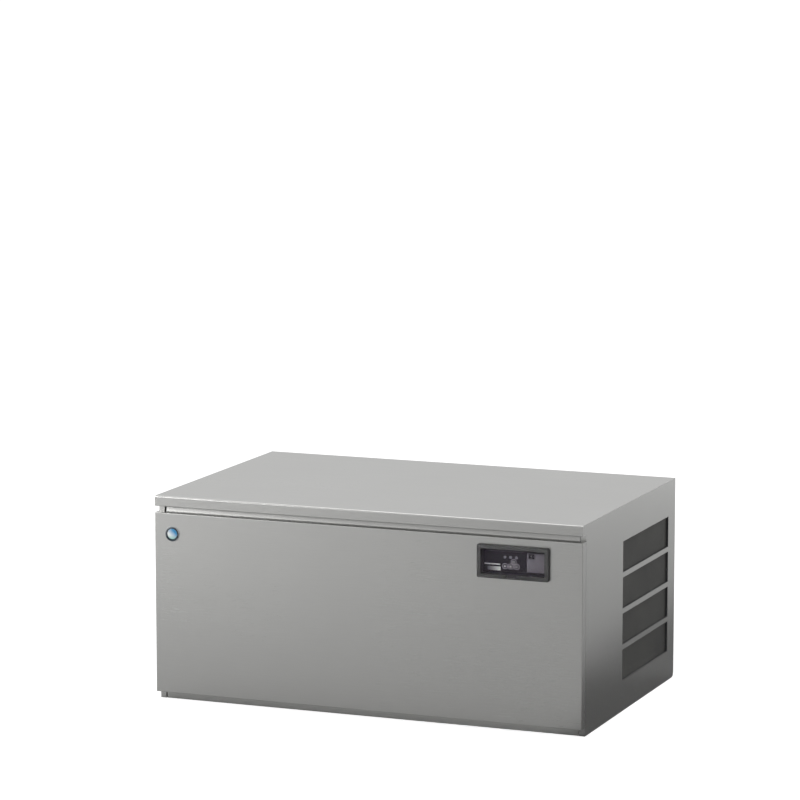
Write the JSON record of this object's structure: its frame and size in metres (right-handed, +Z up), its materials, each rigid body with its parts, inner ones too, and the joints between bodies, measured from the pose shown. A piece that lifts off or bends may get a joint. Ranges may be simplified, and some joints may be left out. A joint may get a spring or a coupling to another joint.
{
  "type": "ice cube machine",
  "caption": "Low modular ice cube machine head in stainless sheet, with a hinged water plate under a cell evaporator.",
  "frame": {"origin": "middle of the cabinet's footprint, on the surface it stands on", "axes": "+X to the machine's right, +Z up, the front faces -Y"},
  "size_m": [1.084, 0.734, 0.5],
  "materials": {
    "stainless_sheet": "fine brushed stainless sheet",
    "stainless_inner": "plain stainless sheet and rod",
    "galvanised_sheet": "zinc coated steel sheet",
    "zinc_screws": "zinc plated screws",
    "bezel_abs": "dark grey moulded ABS, satin",
    "housing_black": "black moulded plastic, matt",
    "flap_smoked": "smoked clear polycarbonate",
    "key_rubber": "dark silicone keys",
    "display_clear": "clear tinted lens",
    "circuit_board": "printed board",
    "switch_steel": "grey painted plate and switch body",
    "rocker_black": "black rocker",
    "badge_chrome": "bright plated ring",
    "badge_resin": "pale domed resin",
    "filter_frame": "dark grey moulded frame",
    "filter_mesh": "woven dark mesh",
    "liner_abs": "white vacuum formed liner",
    "foam": "rigid foam",
    "cover_plastic": "pale grey insulated cover",
    "copper": "copper",
    "evaporator_tin": "tinned copper",
    "water_plastic": "white moulded plastic for water parts",
    "pump_plastic": "dark pump housing",
    "hose_silicone": "translucent silicone hose",
    "motor_case": "grey gear motor",
    "spring_steel": "stainless spring wire",
    "lever_plastic": "blue moulded plastic",
    "fitting_brass": "brass",
    "gland_nylon": "black nylon gland",
    "fin_aluminium": "aluminium fins and copper bends",
    "fan_plastic": "dark moulded fan",
    "compressor_enamel": "black enamel",
    "grommet_rubber": "black rubber"
  },
  "bodies": {
    "cabinet": {"base_pan": "stainless_sheet", "left_side_panel": "stainless_sheet", "right_side_panel": "stainless_sheet", "top_panel": "stainless_sheet", "front_top_rail": "stainless_sheet", "rear_panel": "galvanised_sheet", "rear_screws": "zinc_screws", "front_panel": "stainless_sheet", "badge_rim": "badge_chrome", "badge_dome": "badge_resin", "control_bezel": "bezel_abs", "control_housing": "housing_black", "control_board": "circuit_board", "display_lenses": "display_clear", "switch_plate": "switch_steel", "control_box": "galvanised_sheet", "air_filter_frame": "filter_frame", "air_filter_mesh": "filter_mesh", "ice_liner": "liner_abs", "foam_insulation": "foam", "compartment_partition": "cover_plastic", "inner_front_cover": "cover_plastic", "evaporator": "evaporator_tin", "evaporator_tube": "copper", "ceiling_brackets": "stainless_inner", "hinge_brackets": "stainless_inner", "actuator_motor": "motor_case", "cube_guide": "water_plastic", "drain_pan": "water_plastic", "bin_switch_housing": "water_plastic", "drain_fitting": "fitting_brass", "inlet_valve": "fitting_brass", "supply_pipe": "hose_silicone", "cable_gland": "gland_nylon", "condenser": "fin_aluminium", "fan_shroud": "galvanised_sheet", "fan_motor": "motor_case", "motor_bracket": "galvanised_sheet", "compressor": "compressor_enamel", "compressor_grommets": "grommet_rubber", "filter_drier": "copper", "copper_lines": "copper", "expansion_valve": "fitting_brass", "hot_gas_valve": "fitting_brass"},
    "fan": {"fan": "fan_plastic"},
    "water_plate": {"water_plate": "water_plastic", "water_tank": "water_plastic", "water_pump": "pump_plastic", "pump_hose": "hose_silicone", "tilt_springs": "spring_steel"},
    "cam": {"cam_shaft": "stainless_inner", "crank_arms": "stainless_inner"},
    "bin_lever": {"bin_switch_lever": "lever_plastic"},
    "window_flap": {"window_flap": "flap_smoked"},
    "power_rocker": {"power_rocker": "rocker_black"},
    "key_1": {"key_1": "key_rubber"},
    "key_2": {"key_2": "key_rubber"},
    "key_3": {"key_3": "key_rubber"},
    "key_4": {"key_4": "key_rubber"}
  },
  "joints": [
    {"name": "fan_spin", "type": "hinge", "parent": "cabinet", "child": "fan", "pos_m": [0.435, 0.1203, 0.2438], "axis": [1, 0, 0], "continuous": true},
    {"name": "water_plate_tilt", "type": "hinge", "parent": "cabinet", "child": "water_plate", "pos_m": [-0.175, 0.178, 0.322], "axis": [1, 0, 0], "range_deg": [0, 20], "deforming": ["tilt_springs"]},
    {"name": "cam_turn", "type": "hinge", "parent": "cabinet", "child": "cam", "pos_m": [-0.175, -0.18294, 0.36151], "axis": [1, 0, 0], "range_deg": [-150, 0]},
    {"name": "bin_lever_swing", "type": "hinge", "parent": "cabinet", "child": "bin_lever", "pos_m": [0.04, -0.273, 0.072], "axis": [1, 0, 0], "range_deg": [0, 25]},
    {"name": "window_flap_open", "type": "hinge", "parent": "cabinet", "child": "window_flap", "pos_m": [0.3732, -0.3555, 0.42975], "axis": [-1, 0, 0], "range_deg": [0, 100]},
    {"name": "power_rocker_turn", "type": "hinge", "parent": "cabinet", "child": "power_rocker", "pos_m": [0.4122, -0.3333, 0.417], "axis": [1, 0, 0], "range_deg": [-12, 0]},
    {"name": "key_1_press", "type": "slide", "parent": "cabinet", "child": "key_1", "axis": [0, 1, 0], "range_m": [0, 0.0008], "stiffness_N_per_m": 600},
    {"name": "key_2_press", "type": "slide", "parent": "cabinet", "child": "key_2", "axis": [0, 1, 0], "range_m": [0, 0.0008], "stiffness_N_per_m": 600},
    {"name": "key_3_press", "type": "slide", "parent": "cabinet", "child": "key_3", "axis": [0, 1, 0], "range_m": [0, 0.0008], "stiffness_N_per_m": 600},
    {"name": "key_4_press", "type": "slide", "parent": "cabinet", "child": "key_4", "axis": [0, 1, 0], "range_m": [0, 0.0008], "stiffness_N_per_m": 600}
  ],
  "couplings": [
    {"joint": "cam_turn", "follows": "water_plate_tilt", "ratio": -7.5}
  ]
}
